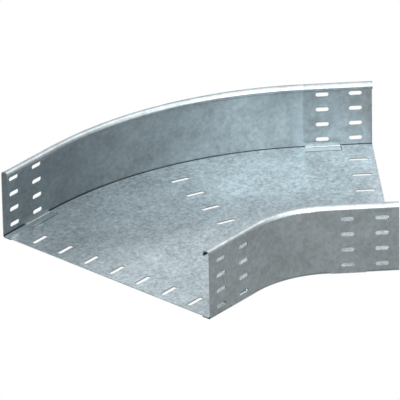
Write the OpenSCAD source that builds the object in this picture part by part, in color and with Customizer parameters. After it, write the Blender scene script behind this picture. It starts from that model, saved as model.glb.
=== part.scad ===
// Horizontal cable tray bend in strip-galvanised sheet steel, open at the top.
// A flat base plate is held between two side walls, whose bottom flanges run
// under it and are gripped by four tongues pressed down from its edges.
// Millimetres. The origin is the middle of the first end, on the underside.
// +X is the run of the first end, +Y points to the outer wall and +Z is up.

/* [Bend] */
// Angle that the run turns through, in degrees
bend_angle = 45; // [15:5:90]
// Radius of the inner wall's outside face
inner_radius = 150; // [100:5:400]
// Straight stretch at each end, before the curve
end_length = 104.5; // [90:0.5:200]
// Width over the outside faces of the two walls
tray_width = 400; // [150:50:600]

/* [Side walls] */
// Thickness of the walls' sheet
wall_sheet = 1.5; // [0.75:0.25:2.5]
// Height of a wall, from the underside of its flange to the top of its lip
wall_height = 110; // [60:5:150]
// Outside radius of the rolled lip
lip_radius = 6.5; // [4:0.5:9]
// How far the lip rolls on past its innermost point, in degrees
lip_curl = 35; // [10:5:60]
// Inside radius of the fold between wall and flange
fold_radius = 1.5; // [0.5:0.25:3]
// Width of the flange, from the wall's outside face
flange_width = 15; // [12:0.5:25]

/* [Wall slots] */
// Length of a wall slot, along the run
wall_slot_length = 20; // [10:1:24]
// Height of a wall slot
wall_slot_width = 7; // [4:0.5:9]
// Distance from the end of the wall to the middle of its first slots
first_column = 25; // [18:1:30]
// Distance between the two columns of slots
column_pitch = 50; // [30:1:50]
// Height of the lowest slots above the underside of the flange
first_row = 14; // [12:0.5:18]
// Distance between rows of slots
row_pitch = 25; // [15:1:30]

/* [Base plate] */
// Thickness of the base plate's sheet
base_sheet = 1.5; // [0.75:0.25:2.5]
// Gap between the base plate's edge and the start of the wall's fold
edge_gap = 0.5; // [0.25:0.25:2]
// Length of a base slot, along the run
base_slot_length = 30; // [15:1:36]
// Width of a base slot
base_slot_width = 7; // [4:0.5:9]
// Distance from the end of the base plate to the middle of its end slots
base_slot_inset = 25; // [22:1:40]
// Distance between base slots, across the tray
base_slot_pitch = 50; // [25:5:100]
// Least distance from a wall's outside face to the middle of a base slot
base_slot_margin = 40; // [30:1:50]

/* [Locking tongues] */
// Length of the opening that each tongue is cut in, along the run
tongue_opening = 54; // [30:1:60]
// Distance from that opening to the start of the curve
tongue_setback = 3.5; // [3:0.5:10]
// Width of the shear slit at each end of a tongue
slit_width = 1.2; // [0.5:0.1:2]
// Gap between the flange's free edge and the tongue's step
step_gap = 0.5; // [0.25:0.25:1.5]
// Slope of the tongue's step, in degrees
step_slope = 45; // [30:5:60]
// Inside radius of the two bends in the step
step_radius = 0.75; // [0.5:0.25:1.5]
// Length of the relief slot at the inner corner of the opening
relief_length = 5; // [3:0.5:5.5]
// Width of the relief slot
relief_width = 1.6; // [1:0.1:2.5]

/* [Hidden] */
$fn = 96;
arc_fn = 360;
cut_clear = 1;
arc_overrun = 2;
step_bend_parts = 4;
slot_lip_clear = 2;
degrees_per_slot_row = 45;
zinc = [0.68, 0.73, 0.75];
shaded_zinc = [0.50, 0.54, 0.56];

outer_radius = inner_radius + tray_width;
centre_radius = inner_radius + tray_width / 2;

// Levels of the stack: tongue, flange, base plate
flange_z = base_sheet;
base_z = flange_z + wall_sheet;
base_top_z = base_z + base_sheet;
wall_top_z = flange_z + wall_height;

fold_outside = fold_radius + wall_sheet;
lip_centre_z = wall_top_z - lip_radius;
lip_tip_z = lip_centre_z - lip_radius * sin(lip_curl);
base_edge = fold_outside + edge_gap;

first_row_z = flange_z + first_row;
last_row_limit = lip_tip_z - slot_lip_clear - wall_slot_width / 2;
row_count = floor((last_row_limit - first_row_z) / row_pitch) + 1;
base_slot_count = floor((tray_width - 2 * base_slot_margin) / base_slot_pitch) + 1;
curve_row_count = max(1, floor(bend_angle / degrees_per_slot_row));

opening_start = tongue_setback;
opening_end = tongue_setback + tongue_opening;

// The step in a tongue is two equal bends with a straight slope between them
step_rise = base_z;
step_mid_radius = step_radius + base_sheet / 2;
step_straight = (step_rise - 2 * step_mid_radius * (1 - cos(step_slope))) / sin(step_slope);
step_run = 2 * step_mid_radius * sin(step_slope) + step_straight * cos(step_slope);
step_start = flange_width + step_gap;
step_end = step_start + step_run;

// Points on the middle line of the step's first bend, as [w, z, angle]
function first_bend() = [
    for (i = [0 : step_bend_parts])
        let (a = step_slope * i / step_bend_parts)
            [step_start + step_mid_radius * sin(a),
             base_sheet / 2 + step_mid_radius * (1 - cos(a)), a]
];

// The second bend is the first one turned by half a turn about the step's middle
function second_bend() = [
    for (i = [step_bend_parts : -1 : 0])
        let (p = first_bend()[i])
            [step_start + step_end - p[0], step_rise + base_sheet - p[1], p[2]]
];

function offset_point(p, d) = [p[0] - d * sin(p[2]), p[1] + d * cos(p[2])];

// Round-ended slot, its length along X
module slot_outline(length, width) {
    square([length - width, width], center = true);
    for (side = [-1, 1])
        translate([side * (length - width) / 2, 0])
            circle(d = width);
}

// Stands a profile drawn as [distance from the wall's outside face, height]
// at its distance from the middle of the curve. side is 1 for the outer wall.
module at_wall(side) {
    if (side > 0)
        translate([outer_radius, 0])
            mirror([1, 0])
                children();
    else
        translate([inner_radius, 0])
            children();
}

// The run is drawn about the middle of the curve. In the frame of an end the
// curve stops at x = 0, the end's face is at x = end_length, and Y is the
// distance from the middle of the curve.

// Extrudes a radial profile along an end, from x0 to x1
module along_end(x0, x1) {
    translate([x0, 0, 0])
        rotate([90, 0, 90])
            linear_extrude(height = x1 - x0)
                children();
}

// Turns a radial profile from an end to a little past the middle of the curve
module along_half_curve() {
    rotate([0, 0, 90])
        rotate_extrude(angle = bend_angle / 2 + arc_overrun, $fn = arc_fn)
            children();
}

// Repeats at both ends what is drawn in the frame of an end
module at_both_ends() {
    for (flip = [0, 1])
        mirror([flip, 0, 0])
            rotate([0, 0, -bend_angle / 2])
                children();
}

// Sweeps a radial profile along the whole run, as two halves that meet at x = 0
module along_run() {
    reach = outer_radius + end_length;
    for (flip = [0, 1])
        mirror([flip, 0, 0])
            intersection() {
                rotate([0, 0, -bend_angle / 2]) {
                    along_end(0, end_length)
                        children();
                    along_half_curve()
                        children();
                }
                translate([0, -reach, -cut_clear])
                    cube([reach, 2 * reach, wall_top_z + 2 * cut_clear]);
            }
}

// Moves the finished run from the middle of the curve to its own origin
module placed() {
    translate([end_length, -centre_radius, 0])
        rotate([0, 0, -bend_angle / 2])
            children();
}

// Section of a side wall: flange, fold, upright and rolled lip
module wall_section() {
    translate([fold_outside, flange_z])
        square([flange_width - fold_outside, wall_sheet]);
    translate([fold_outside, flange_z + fold_outside])
        intersection() {
            ring(fold_outside);
            translate([-fold_outside, -fold_outside])
                square(fold_outside);
        }
    translate([0, flange_z + fold_outside])
        square([wall_sheet, lip_centre_z - flange_z - fold_outside]);
    translate([lip_radius, lip_centre_z])
        intersection() {
            ring(lip_radius);
            lip_sector();
        }
}

// Ring of the walls' sheet with the given outside radius
module ring(outside) {
    difference() {
        circle(r = outside);
        circle(r = outside - wall_sheet);
    }
}

// The part of a circle that the lip fills: its upper half and the curl
module lip_sector() {
    reach = 2 * lip_radius;
    polygon([
        [0, 0], [-reach, 0], [-reach, reach], [reach, reach],
        [reach, -reach * tan(lip_curl)]
    ]);
}

// Slots for the joint bolts, through a wall at one end
module wall_slots(side) {
    sheet_y = centre_radius + side * (tray_width / 2 - wall_sheet / 2);
    for (column = [0, 1], row = [0 : row_count - 1]) {
        slot_x = end_length - first_column - column * column_pitch;
        translate([slot_x, sheet_y, first_row_z + row * row_pitch])
            rotate([90, 0, 0])
                linear_extrude(height = wall_sheet + 2 * cut_clear, center = true)
                    slot_outline(wall_slot_length, wall_slot_width);
    }
}

module side_wall(side) {
    difference() {
        along_run()
            at_wall(side)
                wall_section();
        at_both_ends()
            wall_slots(side);
    }
}

// One row of slots across the base plate, about the middle of the tray
module base_slot_row() {
    for (i = [0 : base_slot_count - 1]) {
        slot_y = centre_radius + (i - (base_slot_count - 1) / 2) * base_slot_pitch;
        translate([0, slot_y, base_z - cut_clear])
            linear_extrude(height = base_sheet + 2 * cut_clear)
                slot_outline(base_slot_length, base_slot_width);
    }
}

// Rows of slots in the curve, square to it
module curve_slot_rows() {
    for (i = [0 : curve_row_count - 1])
        rotate([0, 0, bend_angle * (0.5 - (i + 0.5) / curve_row_count)])
            base_slot_row();
}

// Section of a tongue: flat under the flange, then stepped up to the base plate
module tongue_section() {
    middle = concat(first_bend(), second_bend());
    count = len(middle);
    half = base_sheet / 2;
    lower = [for (p = middle) offset_point(p, -half)];
    upper = [for (i = [count - 1 : -1 : 0]) offset_point(middle[i], half)];
    polygon(concat([[base_edge, 0]], lower, upper, [[base_edge, base_sheet]]));
}

// Opening in the base plate's edge that a tongue is pressed down from
module tongue_cut() {
    translate([base_edge - cut_clear, base_z - cut_clear])
        square([step_end - base_edge + cut_clear, base_sheet + 2 * cut_clear]);
}

// Slot in the opening's corner next to the curve, where the step's bend stops
module relief_slot(side) {
    corner_y = centre_radius + side * (tray_width / 2 - step_end);
    translate([opening_start, corner_y, base_z - cut_clear])
        linear_extrude(height = base_sheet + 2 * cut_clear)
            slot_outline(relief_length, relief_width);
}

module base_sheet_blank() {
    along_run()
        translate([inner_radius + base_edge, base_z])
            square([tray_width - 2 * base_edge, base_sheet]);
}

// The plate with its openings cut and its tongues pressed down, without slots
module base_sheet_pressed() {
    difference() {
        base_sheet_blank();
        at_both_ends()
            for (side = [-1, 1])
                along_end(opening_start, opening_end)
                    at_wall(side)
                        tongue_cut();
    }
    at_both_ends()
        for (side = [-1, 1])
            along_end(opening_start + slit_width, opening_end - slit_width)
                at_wall(side)
                    tongue_section();
}

module base_plate() {
    color(zinc)
        placed()
            difference() {
                base_sheet_pressed();
                at_both_ends() {
                    translate([end_length - base_slot_inset, 0, 0])
                        base_slot_row();
                    for (side = [-1, 1])
                        relief_slot(side);
                }
                curve_slot_rows();
            }
}

module outer_side_wall() {
    color(shaded_zinc)
        placed()
            side_wall(1);
}

module inner_side_wall() {
    color(zinc)
        placed()
            side_wall(-1);
}

base_plate();
outer_side_wall();
inner_side_wall();
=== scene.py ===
"""Looks for a horizontal cable tray bend in strip-galvanised sheet steel.

The three sheets come from the CAD and are dressed here. Made here are only the
thin linings that show the cut steel of the slots, and the studio round it all.
"""

import logging
import math
from abc import ABC, abstractmethod
from dataclasses import dataclass, replace
from enum import Enum

import bmesh
import bpy
from mathutils import Matrix, Vector


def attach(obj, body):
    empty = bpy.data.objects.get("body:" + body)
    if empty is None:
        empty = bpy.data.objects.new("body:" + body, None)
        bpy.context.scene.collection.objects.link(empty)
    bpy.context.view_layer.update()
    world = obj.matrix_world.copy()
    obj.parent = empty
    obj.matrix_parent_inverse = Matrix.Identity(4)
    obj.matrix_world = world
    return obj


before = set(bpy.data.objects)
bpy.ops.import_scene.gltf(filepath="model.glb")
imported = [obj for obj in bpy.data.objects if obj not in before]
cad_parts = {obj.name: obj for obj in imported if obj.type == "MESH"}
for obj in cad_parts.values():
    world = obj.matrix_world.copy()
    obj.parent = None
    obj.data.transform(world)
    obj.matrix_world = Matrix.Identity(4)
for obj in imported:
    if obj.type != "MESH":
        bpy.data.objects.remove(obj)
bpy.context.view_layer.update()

LOG = logging.getLogger("cable_tray_bend")
MM = 0.001
BODY = "root"

Colour = tuple[float, float, float, float]


def srgb(hex_code: str) -> Colour:
    """Turns an sRGB hex colour into a linear one.

    Args:
        hex_code: six hex digits, with or without a leading hash.

    Returns:
        Linear red, green, blue and an alpha of 1.
    """
    digits = hex_code.lstrip("#")
    linear = []
    for start in (0, 2, 4):
        value = int(digits[start:start + 2], 16) / 255
        if value <= 0.04045:  # the straight foot of the sRGB curve
            linear.append(value / 12.92)
        else:
            linear.append(((value + 0.055) / 1.055) ** 2.4)
    return (linear[0], linear[1], linear[2], 1.0)


def add_node(
    tree: bpy.types.NodeTree,
    kind: str,
    settings: dict[str, object] | None = None,
    inputs: dict[str | int, object] | None = None,
) -> bpy.types.Node:
    """Adds one node to a tree.

    Args:
        tree: the node tree.
        kind: the node's type name.
        settings: attributes to set on the node, by name.
        inputs: input sockets by name or number; a value is either a plain
            value or an output socket to link from.

    Returns:
        The new node.
    """
    node = tree.nodes.new(kind)
    for name, value in (settings or {}).items():
        setattr(node, name, value)
    for key, value in (inputs or {}).items():
        socket = node.inputs[key]
        if isinstance(value, bpy.types.NodeSocket):
            tree.links.new(value, socket)
        else:
            socket.default_value = value
    return node


class TrayEnd(Enum):
    """The two ends that the next trays join."""

    FIRST = "first_end"
    SECOND = "second_end"


@dataclass(frozen=True)
class TrayLayout:
    """The sizes of part.scad that the dressed pieces follow, in millimetres."""

    bend_angle: float = 45.0
    centre_radius: float = 350.0
    end_length: float = 104.5
    half_width: float = 200.0
    sheet: float = 1.5
    base_z: float = 3.0
    wall_base_z: float = 1.5

    def end_frame(self, end: TrayEnd) -> Matrix:
        """Gives the frame of an end: X runs inwards from its face, Z is up.

        Args:
            end: the end.

        Returns:
            The turn and shift, in millimetres, from that frame to the part's.
        """
        if end is TrayEnd.FIRST:
            return Matrix.Identity(4)
        angle = math.radians(self.bend_angle)
        run = Vector((math.cos(angle), -math.sin(angle), 0.0))
        out = Vector((math.sin(angle), math.cos(angle), 0.0))
        middle = Vector((self.end_length, -self.centre_radius, 0.0))
        face = middle + out * self.centre_radius + run * self.end_length
        return Matrix.Translation(face) @ Matrix.Rotation(math.pi - angle, 4, "Z")

    def curve_frame(self) -> Matrix:
        """Gives the frame of the middle of the curve, with X along the run.

        Returns:
            The turn and shift, in millimetres, from that frame to the part's.
        """
        middle = Vector((self.end_length, -self.centre_radius, 0.0))
        turn = Matrix.Rotation(-math.radians(self.bend_angle) / 2, 4, "Z")
        out = turn @ Vector((0.0, self.centre_radius, 0.0))
        return Matrix.Translation(middle + out) @ turn


@dataclass(frozen=True)
class GalvanisedSheet:
    """Strip-galvanised steel sheet: hot-dipped zinc, cold-rolled flat.

    The zinc is a semi-gloss metal that mirrors the room softly. It froze in
    small feathered crystals, each a little lighter or darker than the next,
    and a passivation film gives the whole a cloudy blue-grey cast.

    Real crystals on such sheet are 1 to 3 mm across. That is a pixel or two
    in a picture of the whole bend, so they are drawn two to four times as
    coarse. The clouds, from handling and uneven zinc, have their real size.
    """

    name: str
    light_zinc: str
    dark_zinc: str
    crystal_mm: float
    feather_mm: float
    cloud_mm: float
    cloud_share: float
    roughness_low: float
    roughness_high: float
    feather_height_mm: float
    metal_share: float
    feather_detail: float = 4.0
    feather_roughness: float = 0.65
    feather_twist: float = 0.6
    crystal_blur: float = 0.6
    crystal_share: float = 0.15
    cloud_detail: float = 2.0
    cloud_roughness: float = 0.5
    dark_end: float = 0.32
    light_end: float = 0.68

    def pattern(
        self, tree: bpy.types.NodeTree
    ) -> tuple[bpy.types.NodeSocket, bpy.types.NodeSocket]:
        """Draws the spangle of the zinc.

        Args:
            tree: the material's node tree.

        Returns:
            The crystals and clouds together, from 0 to 1, and the fine grain.
        """
        place = add_node(tree, "ShaderNodeTexCoord").outputs["Object"]
        feather = add_node(
            tree,
            "ShaderNodeTexNoise",
            inputs={
                "Vector": place,
                "Scale": 1 / (self.feather_mm * MM),
                "Detail": self.feather_detail,
                "Roughness": self.feather_roughness,
                "Distortion": self.feather_twist,
            },
        ).outputs["Fac"]
        crystals = add_node(
            tree,
            "ShaderNodeTexVoronoi",
            {"feature": "SMOOTH_F1"},
            {
                "Vector": place,
                "Scale": 1 / (self.crystal_mm * MM),
                "Smoothness": self.crystal_blur,
            },
        ).outputs["Color"]
        crystal_value = add_node(
            tree, "ShaderNodeSeparateColor", inputs={"Color": crystals}
        ).outputs["Red"]
        cloud = add_node(
            tree,
            "ShaderNodeTexNoise",
            inputs={
                "Vector": place,
                "Scale": 1 / (self.cloud_mm * MM),
                "Detail": self.cloud_detail,
                "Roughness": self.cloud_roughness,
            },
        ).outputs["Fac"]
        grain = add_node(
            tree,
            "ShaderNodeMix",
            {"data_type": "FLOAT"},
            {"Factor": self.crystal_share, 2: feather, 3: crystal_value},
        ).outputs[0]
        mottled = add_node(
            tree,
            "ShaderNodeMix",
            {"data_type": "FLOAT"},
            {"Factor": self.cloud_share, 2: grain, 3: cloud},
        ).outputs[0]
        spread = add_node(
            tree,
            "ShaderNodeMapRange",
            inputs={
                "Value": mottled,
                "From Min": self.dark_end,
                "From Max": self.light_end,
            },
        ).outputs["Result"]
        return spread, grain

    def colour(
        self, tree: bpy.types.NodeTree, spread: bpy.types.NodeSocket
    ) -> bpy.types.NodeSocket:
        """Colours the zinc between its dark and light crystals.

        Args:
            tree: the material's node tree.
            spread: the crystals and clouds, from 0 to 1.

        Returns:
            The colour.
        """
        return add_node(
            tree,
            "ShaderNodeMix",
            {"data_type": "RGBA"},
            {"Factor": spread, 6: srgb(self.dark_zinc), 7: srgb(self.light_zinc)},
        ).outputs[2]

    def material(self) -> bpy.types.Material:
        """Builds the material.

        Returns:
            A new node-based material.
        """
        material = bpy.data.materials.new(self.name)
        material.use_nodes = True
        tree = material.node_tree
        tree.nodes.clear()
        spread, grain = self.pattern(tree)
        roughness = add_node(
            tree,
            "ShaderNodeMapRange",
            inputs={
                "Value": spread,
                "To Min": self.roughness_high,
                "To Max": self.roughness_low,
            },
        ).outputs["Result"]
        wave = add_node(
            tree,
            "ShaderNodeBump",
            inputs={
                "Height": grain,
                "Strength": 1.0,
                "Distance": self.feather_height_mm * MM,
            },
        ).outputs["Normal"]
        shader = add_node(
            tree,
            "ShaderNodeBsdfPrincipled",
            inputs={
                "Base Color": self.colour(tree, spread),
                "Metallic": self.metal_share,
                "Roughness": roughness,
                "Normal": wave,
            },
        ).outputs["BSDF"]
        add_node(tree, "ShaderNodeOutputMaterial", inputs={"Surface": shader})
        return material


@dataclass(frozen=True)
class RollFormedSheet(GalvanisedSheet):
    """The same sheet after roll forming, which presses its spangle fainter.

    The fold at the foot of the wall is drawn dark, as painted shade in the
    gap beside the base plate, and the eye sees it as a dark line. The painted
    shade is left off where the base plate is open, and the flat top of the
    flange is drawn lighter there, as a painted highlight. On the outer wall, a
    band of the curve next to the second straight end is drawn lighter, as a
    painted highlight.
    Lengths are in millimetres, heights from the underside, and places along
    a straight end from where the curve stops.
    """

    layout: TrayLayout = TrayLayout()
    # Painted shade: the fold at the foot of the wall takes this dark colour where the
    # base plate is shut.
    painted_fold_shade: str = "#464d50"
    fold_top: float = 4.6
    painted_shade_top: float = 5.6
    facing_in: tuple[float, float] = (-0.05, -0.02)
    # Painted highlight: the flat top of the flange takes this lighter colour where the
    # base plate is open.
    painted_flange_highlight: str = "#a3adb1"
    flange_blur: float = 0.4
    facing_up: tuple[float, float] = (0.85, 0.97)
    underneath: tuple[float, float] = (-2.0, -1.0)
    opening_start: float = 3.5
    opening_end: float = 56.5
    opening_blur: float = 0.3
    # Painted highlight: a lighter band on the curve where it meets the second straight
    # end, drawn only by the outer wall's finish.
    painted_highlight_zinc: str = "#aab6bb"
    painted_highlight_share: float = 0.0
    painted_highlight_length: float = 17.0
    painted_highlight_blur: float = 1.5

    def past_curve(
        self, tree: bpy.types.NodeTree, place: bpy.types.NodeSocket
    ) -> list[bpy.types.NodeSocket]:
        """Measures how far a point lies past the curve, towards each end.

        Args:
            tree: the material's node tree.
            place: the point on the wall.

        Returns:
            One distance in metres for each end, negative in the curve.
        """
        angle = math.radians(self.layout.bend_angle)
        middle = (self.layout.end_length * MM, -self.layout.centre_radius * MM, 0.0)
        from_middle = add_node(
            tree,
            "ShaderNodeVectorMath",
            {"operation": "SUBTRACT"},
            {0: place, 1: middle},
        ).outputs["Vector"]
        return [
            add_node(
                tree,
                "ShaderNodeVectorMath",
                {"operation": "DOT_PRODUCT"},
                {0: from_middle, 1: outwards},
            ).outputs["Value"]
            for outwards in ((-1.0, 0.0, 0.0), (math.cos(angle), -math.sin(angle), 0.0))
        ]

    def between(
        self,
        tree: bpy.types.NodeTree,
        value: bpy.types.NodeSocket,
        rise: tuple[float, float],
        fall: tuple[float, float],
    ) -> bpy.types.NodeSocket:
        """Gives 1 between two edges of a band and 0 outside them.

        Args:
            tree: the material's node tree.
            value: the place across the band, in metres.
            rise: where the first edge starts and ends, in millimetres.
            fall: where the second edge starts and ends, in millimetres.

        Returns:
            The share of the band at that place.
        """
        rising = add_node(
            tree,
            "ShaderNodeMapRange",
            inputs={"Value": value, "From Min": rise[0] * MM, "From Max": rise[1] * MM},
        ).outputs["Result"]
        falling = add_node(
            tree,
            "ShaderNodeMapRange",
            inputs={"Value": value, "From Min": fall[1] * MM, "From Max": fall[0] * MM},
        ).outputs["Result"]
        return add_node(
            tree, "ShaderNodeMath", {"operation": "MULTIPLY"}, {0: rising, 1: falling}
        ).outputs[0]

    def in_opening(
        self, tree: bpy.types.NodeTree, past: list[bpy.types.NodeSocket]
    ) -> bpy.types.NodeSocket:
        """Finds the stretches where a tongue leaves the base plate open.

        Args:
            tree: the material's node tree.
            past: the distances past the curve, from past_curve.

        Returns:
            1 beside an opening and 0 elsewhere.
        """
        blur = self.opening_blur
        edges = (
            (self.opening_start - blur, self.opening_start + blur),
            (self.opening_end - blur, self.opening_end + blur),
        )
        first, second = (self.between(tree, distance, *edges) for distance in past)
        return add_node(
            tree, "ShaderNodeMath", {"operation": "MAXIMUM"}, {0: first, 1: second}
        ).outputs[0]

    def where_facing(
        self,
        tree: bpy.types.NodeTree,
        upward: bpy.types.NodeSocket,
        turn: tuple[float, float],
        low: bpy.types.NodeSocket,
    ) -> bpy.types.NodeSocket:
        """Finds the low surfaces that face up far enough.

        Args:
            tree: the material's node tree.
            upward: the upward part of the surface's normal.
            turn: the upward parts at which the share starts and is full.
            low: the share of the height band.

        Returns:
            The share of both together.
        """
        faces = add_node(
            tree,
            "ShaderNodeMapRange",
            inputs={"Value": upward, "From Min": turn[0], "From Max": turn[1]},
        ).outputs["Result"]
        return add_node(
            tree, "ShaderNodeMath", {"operation": "MULTIPLY"}, {0: faces, 1: low}
        ).outputs[0]

    def colour(
        self, tree: bpy.types.NodeTree, spread: bpy.types.NodeSocket
    ) -> bpy.types.NodeSocket:
        """Colours the zinc, with a painted highlight band, painted shade in the fold
        and a painted highlight on the open flange.

        Args:
            tree: the material's node tree.
            spread: the crystals and clouds, from 0 to 1.

        Returns:
            The colour.
        """
        place = add_node(tree, "ShaderNodeTexCoord").outputs["Object"]
        normal = add_node(tree, "ShaderNodeNewGeometry").outputs["Normal"]
        level, upward = (
            add_node(
                tree, "ShaderNodeSeparateXYZ", inputs={"Vector": vector}
            ).outputs["Z"]
            for vector in (place, normal)
        )
        past = self.past_curve(tree, place)
        # Painted highlight band, fading in over the last stretch of the curve before
        # the second straight end.
        painted_highlight_band = self.between(
            tree, past[1], (-self.painted_highlight_length, 0.0), (0.0, self.painted_highlight_blur)
        )
        is_open = self.in_opening(tree, past)
        is_shut = add_node(
            tree, "ShaderNodeMath", {"operation": "SUBTRACT"}, {0: 1.0, 1: is_open}
        ).outputs[0]
        in_fold = self.between(
            tree, level, self.underneath, (self.fold_top, self.painted_shade_top)
        )
        above_flange = (self.fold_top - self.flange_blur, self.fold_top)
        on_flange = self.between(tree, level, self.underneath, above_flange)
        # Painted shade mask for the fold beside the shut base plate.
        painted_fold_shade_area = self.where_facing(tree, upward, self.facing_in, in_fold)
        # Painted highlight mask: the flange's flat, upward-facing top.
        flat_flange = self.where_facing(tree, upward, self.facing_up, on_flange)
        look = super().colour(tree, spread)
        # Mixes in the painted highlight band, the painted shade in the fold and the
        # painted highlight on the open flange.
        for area, share, over in (
            (painted_highlight_band, self.painted_highlight_share, self.painted_highlight_zinc),
            (painted_fold_shade_area, is_shut, self.painted_fold_shade),
            (flat_flange, is_open, self.painted_flange_highlight),
        ):
            amount = add_node(
                tree, "ShaderNodeMath", {"operation": "MULTIPLY"}, {0: area, 1: share}
            ).outputs[0]
            look = add_node(
                tree,
                "ShaderNodeMix",
                {"data_type": "RGBA"},
                {"Factor": amount, 6: look, 7: srgb(over)},
            ).outputs[2]
        return look


# No zinc here is smoother than 0.275. Below that, bright curls come out of the
# spangle, most likely because the denoiser takes the metal for a mirror.
FLAT_ZINC = GalvanisedSheet(
    name="strip_galvanised_steel_flat",
    light_zinc="#9eabb1",
    dark_zinc="#626c70",
    crystal_mm=7.0,
    feather_mm=5.0,
    cloud_mm=60.0,
    cloud_share=0.20,
    roughness_low=0.275,
    roughness_high=0.31,
    feather_height_mm=0.015,
    metal_share=0.75,  # the film on flat sheet scatters the rest
)
FORMED_ZINC = RollFormedSheet(
    name="strip_galvanised_steel_roll_formed",
    light_zinc="#8d9598",
    dark_zinc="#6e7476",
    crystal_mm=9.0,
    feather_mm=6.0,
    cloud_mm=40.0,
    cloud_share=0.35,
    roughness_low=0.28,
    roughness_high=0.34,
    feather_height_mm=0.01,
    metal_share=1.0,
)
# The outer wall's finish: the roll-formed zinc with its painted highlight band drawn at
# a share of 0.3.
FORMED_ZINC_PAINTED_HIGHLIGHT = replace(
    FORMED_ZINC, name="strip_galvanised_steel_roll_formed_painted_highlight", painted_highlight_share=0.3
)


@dataclass(frozen=True)
class ShearedSteel:
    """The cut edge of galvanised sheet, left as the punch made it.

    The punch shears half the thickness and tears the rest, and wipes a little
    zinc over both, so the rim is duller and darker than the face. Its dark
    colour is partly the cut steel's own and partly painted shade inside the
    slots. The grain of such a tear is about 0.1 mm, and is drawn six times as
    coarse.
    """

    name: str = "punched_steel_edge"
    wiped_zinc: str = "#7f8689"
    # Darker end of the rim: partly the cut steel's own tone, partly painted shade
    # inside the slots.
    bare_steel_and_painted_shade: str = "#54595b"
    tear_mm: float = 0.6
    tear_detail: float = 2.0
    roughness: float = 0.5

    def material(self) -> bpy.types.Material:
        """Builds the material.

        Returns:
            A new node-based material.
        """
        material = bpy.data.materials.new(self.name)
        material.use_nodes = True
        tree = material.node_tree
        tree.nodes.clear()
        place = add_node(tree, "ShaderNodeTexCoord").outputs["Object"]
        tear = add_node(
            tree,
            "ShaderNodeTexNoise",
            inputs={
                "Vector": place,
                "Scale": 1 / (self.tear_mm * MM),
                "Detail": self.tear_detail,
            },
        ).outputs["Fac"]
        colour = add_node(
            tree,
            "ShaderNodeMix",
            {"data_type": "RGBA"},
            {"Factor": tear, 6: srgb(self.bare_steel_and_painted_shade), 7: srgb(self.wiped_zinc)},
        ).outputs[2]
        shader = add_node(
            tree,
            "ShaderNodeBsdfPrincipled",
            inputs={"Base Color": colour, "Metallic": 1.0, "Roughness": self.roughness},
        ).outputs["BSDF"]
        add_node(tree, "ShaderNodeOutputMaterial", inputs={"Surface": shader})
        return material


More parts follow.
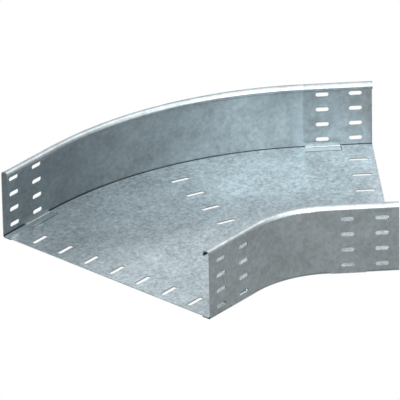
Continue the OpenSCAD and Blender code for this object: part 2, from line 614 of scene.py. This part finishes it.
@dataclass
class PunchedEdges(ABC):
    """The rims of a grid of punched slots, as thin linings on the cut steel.

    The grid lies in its own XY plane about its middle, with the slots along X,
    and is repeated at each of its places. All lengths are in millimetres.
    """

    name: str
    layout: TrayLayout
    slot_length: float = 30.0
    slot_width: float = 7.0
    columns: int = 1
    rows: int = 7
    column_pitch: float = 50.0
    row_pitch: float = 50.0
    lining: float = 0.12
    fit: float = 0.02
    corner_points: int = 8
    # A fillet of just under half the width keeps the two ends' curves apart.
    corner_share: float = 0.4999
    section_corner_points: int = 2
    section_corner_share: float = 0.4

    @abstractmethod
    def places(self) -> list[Matrix]:
        """Gives the frames of the grids, in millimetres."""

    def draw_rim(
        self, tree: bpy.types.NodeTree, given: bpy.types.NodeOutputs
    ) -> bpy.types.NodeSocket:
        """Adds the nodes that draw one rim.

        Args:
            tree: the geometry node tree.
            given: the tree's named inputs.

        Returns:
            The rim's mesh.
        """
        corner = add_node(
            tree,
            "ShaderNodeMath",
            {"operation": "MULTIPLY"},
            {0: given["Slot Width"], 1: self.corner_share},
        ).outputs[0]
        section_corner = add_node(
            tree,
            "ShaderNodeMath",
            {"operation": "MULTIPLY"},
            {0: given["Lining"], 1: self.section_corner_share},
        ).outputs[0]
        curves = []
        for width, height, points, radius in (
            ("Slot Length", "Slot Width", given["Corner Points"], corner),
            ("Lining", "Sheet", self.section_corner_points, section_corner),
        ):
            outline = add_node(
                tree,
                "GeometryNodeCurvePrimitiveQuadrilateral",
                {"mode": "RECTANGLE"},
                {"Width": given[width], "Height": given[height]},
            ).outputs["Curve"]
            rounded = add_node(
                tree,
                "GeometryNodeFilletCurve",
                {"mode": "POLY"},
                {
                    "Curve": outline,
                    "Count": points,
                    "Radius": radius,
                    "Limit Radius": True,
                },
            ).outputs["Curve"]
            curves.append(rounded)
        return add_node(
            tree,
            "GeometryNodeCurveToMesh",
            inputs={"Curve": curves[0], "Profile Curve": curves[1]},
        ).outputs["Mesh"]

    def rim_tree(self) -> bpy.types.NodeTree:
        """Builds the node tree that draws one rim and repeats it on the grid.

        Returns:
            A geometry node group with the sizes as named inputs.
        """
        tree = bpy.data.node_groups.new("punched_rims", "GeometryNodeTree")
        face = tree.interface
        face.new_socket("Geometry", in_out="INPUT", socket_type="NodeSocketGeometry")
        for label in ("Slot Length", "Slot Width", "Sheet", "Lining"):
            face.new_socket(label, in_out="INPUT", socket_type="NodeSocketFloat")
        for label in ("Column Pitch", "Row Pitch"):
            face.new_socket(label, in_out="INPUT", socket_type="NodeSocketFloat")
        for label in ("Columns", "Rows", "Corner Points"):
            face.new_socket(label, in_out="INPUT", socket_type="NodeSocketInt")
        face.new_socket("Finish", in_out="INPUT", socket_type="NodeSocketMaterial")
        face.new_socket("Geometry", in_out="OUTPUT", socket_type="NodeSocketGeometry")
        given = add_node(tree, "NodeGroupInput").outputs
        rim = self.draw_rim(tree, given)
        spans = []
        for count, pitch in (("Columns", "Column Pitch"), ("Rows", "Row Pitch")):
            gaps = add_node(
                tree,
                "ShaderNodeMath",
                {"operation": "SUBTRACT"},
                {0: given[count], 1: 1.0},
            ).outputs[0]
            span = add_node(
                tree,
                "ShaderNodeMath",
                {"operation": "MULTIPLY"},
                {0: gaps, 1: given[pitch]},
            ).outputs[0]
            spans.append(span)
        grid = add_node(
            tree,
            "GeometryNodeMeshGrid",
            inputs={
                "Size X": spans[0],
                "Size Y": spans[1],
                "Vertices X": given["Columns"],
                "Vertices Y": given["Rows"],
            },
        ).outputs["Mesh"]
        points = add_node(
            tree, "GeometryNodeMeshToPoints", inputs={"Mesh": grid}
        ).outputs["Points"]
        repeated = add_node(
            tree,
            "GeometryNodeInstanceOnPoints",
            inputs={"Points": points, "Instance": rim},
        ).outputs["Instances"]
        real = add_node(
            tree, "GeometryNodeRealizeInstances", inputs={"Geometry": repeated}
        ).outputs["Geometry"]
        dressed = add_node(
            tree,
            "GeometryNodeSetMaterial",
            inputs={"Geometry": real, "Material": given["Finish"]},
        ).outputs["Geometry"]
        add_node(tree, "NodeGroupOutput", inputs={"Geometry": dressed})
        return tree

    def mesh(self, material: bpy.types.Material) -> bpy.types.Mesh:
        """Runs the tree once and keeps its result.

        Args:
            material: the finish of the rims.

        Returns:
            A plain mesh of all the rims, in metres, about the grid's middle.
        """
        blank = bpy.data.objects.new(self.name, bpy.data.meshes.new(self.name))
        bpy.context.scene.collection.objects.link(blank)
        tree = self.rim_tree()
        modifier = blank.modifiers.new("rims", "NODES")
        modifier.node_group = tree
        inset = 2 * self.fit + self.lining
        values = {
            "Slot Length": (self.slot_length - inset) * MM,
            "Slot Width": (self.slot_width - inset) * MM,
            "Sheet": (self.layout.sheet - 2 * self.fit) * MM,
            "Lining": self.lining * MM,
            "Column Pitch": self.column_pitch * MM,
            "Row Pitch": self.row_pitch * MM,
            "Columns": self.columns,
            "Rows": self.rows,
            "Corner Points": self.corner_points,
            "Finish": material,
        }
        for item in tree.interface.items_tree:
            if item.in_out == "INPUT" and item.name in values:
                modifier[item.identifier] = values[item.name]
        blank.update_tag()
        seen = blank.evaluated_get(bpy.context.evaluated_depsgraph_get())
        mesh = bpy.data.meshes.new_from_object(seen)
        bpy.data.objects.remove(blank)
        return mesh

    def build(self, material: bpy.types.Material) -> bpy.types.Object:
        """Puts the grid at each of its places, as one piece on the tray.

        Args:
            material: the finish of the rims.

        Returns:
            The finished piece, riding on the tray.
        """
        grid = self.mesh(material)
        joined = bmesh.new()
        for place in self.places():
            copy = grid.copy()
            copy.transform(Matrix.Scale(MM, 4) @ place @ Matrix.Scale(1 / MM, 4))
            joined.from_mesh(copy)
            bpy.data.meshes.remove(copy)
        bmesh.ops.recalc_face_normals(joined, faces=joined.faces)
        mesh = bpy.data.meshes.new(self.name)
        joined.to_mesh(mesh)
        joined.free()
        mesh.materials.append(material)
        mesh.polygons.foreach_set("material_index", [0] * len(mesh.polygons))
        piece = bpy.data.objects.new(self.name, mesh)
        bpy.context.scene.collection.objects.link(piece)
        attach(piece, BODY)
        return piece


@dataclass
class WallSlotEdges(PunchedEdges):
    """The joint slots of one side wall, four rows of two at both ends."""

    side: int = 1
    slot_length: float = 20.0
    columns: int = 2
    rows: int = 4
    row_pitch: float = 25.0
    first_column: float = 25.0
    first_row: float = 14.0

    def places(self) -> list[Matrix]:
        """Gives the frames of the slot grids at both ends.

        Returns:
            The turn and shift of each grid, in millimetres.
        """
        middle_x = self.first_column + (self.columns - 1) * self.column_pitch / 2
        middle_row = self.first_row + (self.rows - 1) * self.row_pitch / 2
        middle_z = self.layout.wall_base_z + middle_row
        upright = Matrix.Rotation(math.pi / 2, 4, "X")
        middle_of_wall = self.side * (self.layout.half_width - self.layout.sheet / 2)
        found = []
        for end, way in ((TrayEnd.FIRST, 1), (TrayEnd.SECOND, -1)):
            middle_y = way * middle_of_wall
            shift = Matrix.Translation((middle_x, middle_y, middle_z))
            found.append(self.layout.end_frame(end) @ shift @ upright)
        return found


@dataclass
class BaseSlotEdges(PunchedEdges):
    """The base plate's slots: a row of seven at each end and in the curve."""

    inset: float = 25.0

    def places(self) -> list[Matrix]:
        """Gives the frames of the three rows.

        Returns:
            The turn and shift of each row, in millimetres.
        """
        level = self.layout.base_z + self.layout.sheet / 2
        found = [
            self.layout.end_frame(end) @ Matrix.Translation((self.inset, 0.0, level))
            for end in TrayEnd
        ]
        found.append(self.layout.curve_frame() @ Matrix.Translation((0.0, 0.0, level)))
        return found


@dataclass
class SheetPiece:
    """One CAD sheet of the tray, dressed in its finish."""

    node: str

    def dress(self, material: bpy.types.Material) -> bpy.types.Object:
        """Puts a finish on the CAD node.

        Args:
            material: the finish.

        Returns:
            The node's object.
        """
        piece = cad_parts[self.node]
        for slot in piece.material_slots:
            slot.material = material
        return piece


def seen_directly(tree: bpy.types.NodeTree) -> bpy.types.NodeSocket:
    """Tells a ray to the eye, also by way of metal or glass, from plain light.

    Args:
        tree: the node tree of a floor or world.

    Returns:
        1 for such a ray, and 0 for the light that falls on the tray.
    """
    path = add_node(tree, "ShaderNodeLightPath").outputs
    seen = path["Is Camera Ray"]
    for other in ("Is Glossy Ray", "Is Transmission Ray"):
        seen = add_node(
            tree, "ShaderNodeMath", {"operation": "MAXIMUM"}, {0: seen, 1: path[other]}
        ).outputs[0]
    return seen


@dataclass(frozen=True)
class SoftLamp:
    """A square soft lamp on a dome round the tray, turned to its middle."""

    name: str
    azimuth: float
    elevation: float
    power: float
    size: float = 2.6
    distance: float = 3.0
    middle: tuple[float, float, float] = (0.28, -0.05, 0.05)

    def hang(self) -> bpy.types.Object:
        """Hangs the lamp in the scene.

        Returns:
            The lamp's object.
        """
        around, up = math.radians(self.azimuth), math.radians(self.elevation)
        level = math.cos(up)
        away = Vector(
            (level * math.cos(around), level * math.sin(around), math.sin(up))
        )
        data = bpy.data.lights.new(self.name, "AREA")
        data.shape = "SQUARE"
        data.size = self.size
        data.energy = self.power
        lamp = bpy.data.objects.new(self.name, data)
        lamp.location = Vector(self.middle) + away * self.distance
        lamp.rotation_mode = "QUATERNION"
        lamp.rotation_quaternion = (-away).to_track_quat("-Z", "Y")
        lamp.visible_camera = False
        bpy.context.scene.collection.objects.link(lamp)
        return lamp


@dataclass
class Studio:
    """Plain pale floor, white surroundings, soft lamps and the camera."""

    floor_half: float = 15.0
    floor_drop_mm: float = 0.2
    sky_strength: float = 0.5
    lens_mm: float = 617.0
    sensor_mm: float = 36.0
    nearest: float = 0.1
    farthest: float = 100.0
    camera_place: tuple[float, float, float] = (-6.49777, -5.84590, 4.74740)
    camera_right: tuple[float, float, float] = (0.650358, -0.759456, -0.016216)
    camera_forward: tuple[float, float, float] = (0.666521, 0.580753, -0.467414)

    def lay_floor(self) -> None:
        """Lays the floor just under the tray."""
        half, level = self.floor_half, -self.floor_drop_mm * MM
        corners = [
            (x * half, y * half, level) for x, y in ((-1, -1), (1, -1), (1, 1), (-1, 1))
        ]
        mesh = bpy.data.meshes.new("floor")
        mesh.from_pydata(corners, [], [(0, 1, 2, 3)])
        material = bpy.data.materials.new("pale_floor")
        material.use_nodes = True
        tree = material.node_tree
        tree.nodes.clear()
        seen = seen_directly(tree)
        matt = add_node(
            tree, "ShaderNodeBsdfDiffuse", inputs={"Color": srgb("#e6e6e6")}
        ).outputs["BSDF"]
        white = add_node(
            tree,
            "ShaderNodeEmission",
            inputs={"Color": srgb("#ffffff"), "Strength": 1.0},
        ).outputs["Emission"]
        mixed = add_node(
            tree, "ShaderNodeMixShader", inputs={0: seen, 1: matt, 2: white}
        ).outputs["Shader"]
        add_node(tree, "ShaderNodeOutputMaterial", inputs={"Surface": mixed})
        mesh.materials.append(material)
        floor = bpy.data.objects.new("floor", mesh)
        bpy.context.scene.collection.objects.link(floor)

    def paint_surroundings(self) -> None:
        """Sets the world: white to the eye and in the metal, dimmer as light."""
        world = bpy.data.worlds.new("surroundings")
        world.use_nodes = True
        tree = world.node_tree
        tree.nodes.clear()
        seen = seen_directly(tree)
        strength = add_node(
            tree,
            "ShaderNodeMapRange",
            inputs={"Value": seen, "To Min": self.sky_strength, "To Max": 1.0},
        ).outputs["Result"]
        light = add_node(
            tree,
            "ShaderNodeBackground",
            inputs={"Color": srgb("#ffffff"), "Strength": strength},
        ).outputs["Background"]
        add_node(tree, "ShaderNodeOutputWorld", inputs={"Surface": light})
        bpy.context.scene.world = world

    def hang_lamps(self) -> None:
        """Hangs the soft lamps.

        They are about three times as strong as plain ones. The zinc mirrors
        the white room, which sets how dark it is drawn, and its highlights
        need that much more light. With pale matt things they come down.
        """
        lamps = (
            SoftLamp("camera_side_low", azimuth=234, elevation=25, power=146),
            SoftLamp("camera_side_high", azimuth=240, elevation=60, power=66),
            SoftLamp("front", azimuth=270, elevation=25, power=42),
            SoftLamp("front_high", azimuth=300, elevation=60, power=30),
            SoftLamp("right_high", azimuth=0, elevation=60, power=48),
            SoftLamp("back_low_right", azimuth=25, elevation=14, power=8, size=1.6),
            SoftLamp("back_low_left", azimuth=57, elevation=14, power=11, size=1.6),
            SoftLamp("left_high", azimuth=120, elevation=60, power=48),
        )
        for lamp in lamps:
            lamp.hang()
            LOG.info("lamp %s", lamp.name)

    def set_camera(self) -> None:
        """Sets the camera where the photographer's was."""
        data = bpy.data.cameras.new("camera")
        data.sensor_width = self.sensor_mm
        data.lens = self.lens_mm
        data.clip_start = self.nearest
        data.clip_end = self.farthest
        camera = bpy.data.objects.new("camera", data)
        right = Vector(self.camera_right).normalized()
        forward = Vector(self.camera_forward).normalized()
        up = right.cross(forward).normalized()
        right = forward.cross(up)
        turn = Matrix((right, up, -forward)).transposed().to_4x4()
        camera.matrix_world = Matrix.Translation(self.camera_place) @ turn
        bpy.context.scene.collection.objects.link(camera)
        bpy.context.scene.camera = camera

    def build(self) -> None:
        """Builds the whole studio."""
        self.lay_floor()
        self.paint_surroundings()
        self.hang_lamps()
        self.set_camera()
        bpy.context.scene.view_settings.view_transform = "Standard"


def main() -> None:
    """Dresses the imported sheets, and sets the studio round them."""
    logging.basicConfig(level=logging.INFO, format="%(name)s: %(message)s")
    finishes = {
        "base_plate": FLAT_ZINC,
        "outer_side_wall": FORMED_ZINC_PAINTED_HIGHLIGHT,
        "inner_side_wall": FORMED_ZINC,
    }
    for node, finish in finishes.items():
        piece = SheetPiece(node).dress(finish.material())
        LOG.info("dressed %s, %d triangles", piece.name, len(piece.data.polygons))
    layout = TrayLayout()
    cut_steel = ShearedSteel().material()
    for rims in (
        WallSlotEdges("outer_wall_slot_edges", layout, side=1),
        WallSlotEdges("inner_wall_slot_edges", layout, side=-1),
        BaseSlotEdges("base_slot_edges", layout),
    ):
        piece = rims.build(cut_steel)
        LOG.info("built %s, %d faces", piece.name, len(piece.data.polygons))
    Studio().build()


if __name__ == "__main__":
    main()
